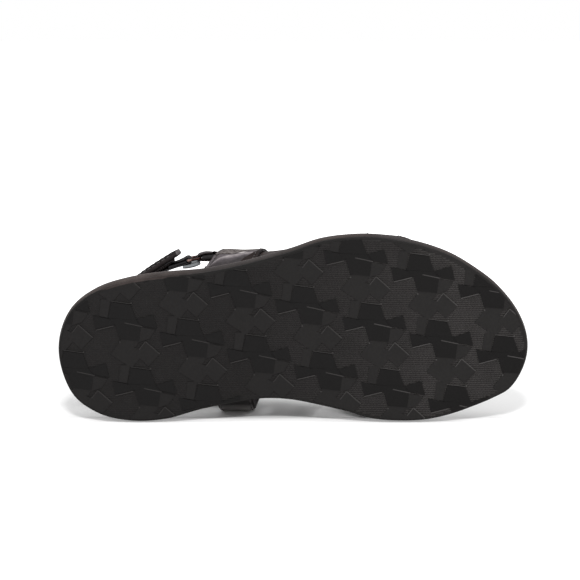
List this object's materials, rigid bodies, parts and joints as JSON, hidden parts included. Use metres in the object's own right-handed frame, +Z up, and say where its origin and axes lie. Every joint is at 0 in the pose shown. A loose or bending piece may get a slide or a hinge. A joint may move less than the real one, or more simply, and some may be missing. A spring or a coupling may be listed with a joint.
{
  "type": "slingback sandal",
  "caption": "Flat slingback sandal for the right foot, with an instep band, crossed front straps, a heel sling fastened through a ring, a dished footbed and a treaded sole.",
  "frame": {"origin": "centre of the bounding box in plan, on the floor that the sandal lies on", "axes": "+X from heel to toe, +Y from the tread side to the foot side, +Z up from the medial to the lateral side; the sandal lies on its medial side"},
  "size_m": [0.2618, 0.0868, 0.1046],
  "materials": {
    "outsole": "matt moulded rubber",
    "midsole": "matt wrapped edge",
    "footbed": "suede",
    "strap": "fine matt grain",
    "strap_lining": "soft matt lining",
    "ring": "polished, rose toned"
  },
  "bodies": {
    "root": {"outsole": "outsole", "midsole": "midsole", "insole": "footbed", "upper": "strap", "heel_strap": "strap", "closure_strap": "strap_lining", "ring_tab": "strap", "ring": "ring"}
  },
  "joints": []
}
